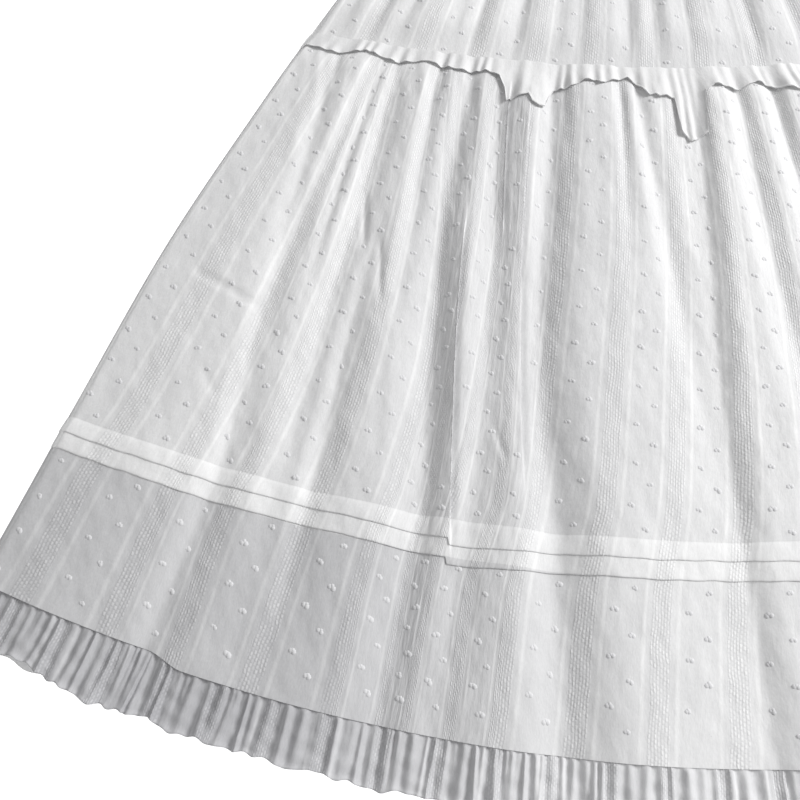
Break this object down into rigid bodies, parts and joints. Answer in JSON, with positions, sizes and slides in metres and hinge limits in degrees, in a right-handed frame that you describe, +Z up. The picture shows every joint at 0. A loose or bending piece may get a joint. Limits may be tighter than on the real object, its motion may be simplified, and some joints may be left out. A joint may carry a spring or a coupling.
{
  "type": "maxi skirt",
  "caption": "Tiered maxi skirt of white dotted and striped cotton, laid flat, with an elastic waist, gathered tiers, sewn tucks and gathered ruffles over the tier seam and on the hem.",
  "frame": {"origin": "centre of the underside of the skirt's outline as it lies, on the surface it lies on", "axes": "+X across the skirt to the right as its front is looked at, +Y up the skirt from the hem to the waist, +Z up out of the front"},
  "size_m": [1.121, 0.964, 0.0202],
  "materials": {
    "tier_cotton": "matte white cotton with woven stripes and clipped dots",
    "ruffle_cotton": "matte white cotton, single layer",
    "casing_cotton": "matte white cotton over elastic"
  },
  "bodies": {
    "root": {"waistband_front": "casing_cotton", "waistband_back": "casing_cotton", "upper_tier_front": "tier_cotton", "upper_tier_back": "tier_cotton", "seam_ruffle_front": "ruffle_cotton", "seam_ruffle_back": "ruffle_cotton", "lower_tier_front": "tier_cotton", "lower_tier_back": "tier_cotton", "hem_ruffle_front": "ruffle_cotton", "hem_ruffle_back": "ruffle_cotton"}
  },
  "joints": []
}
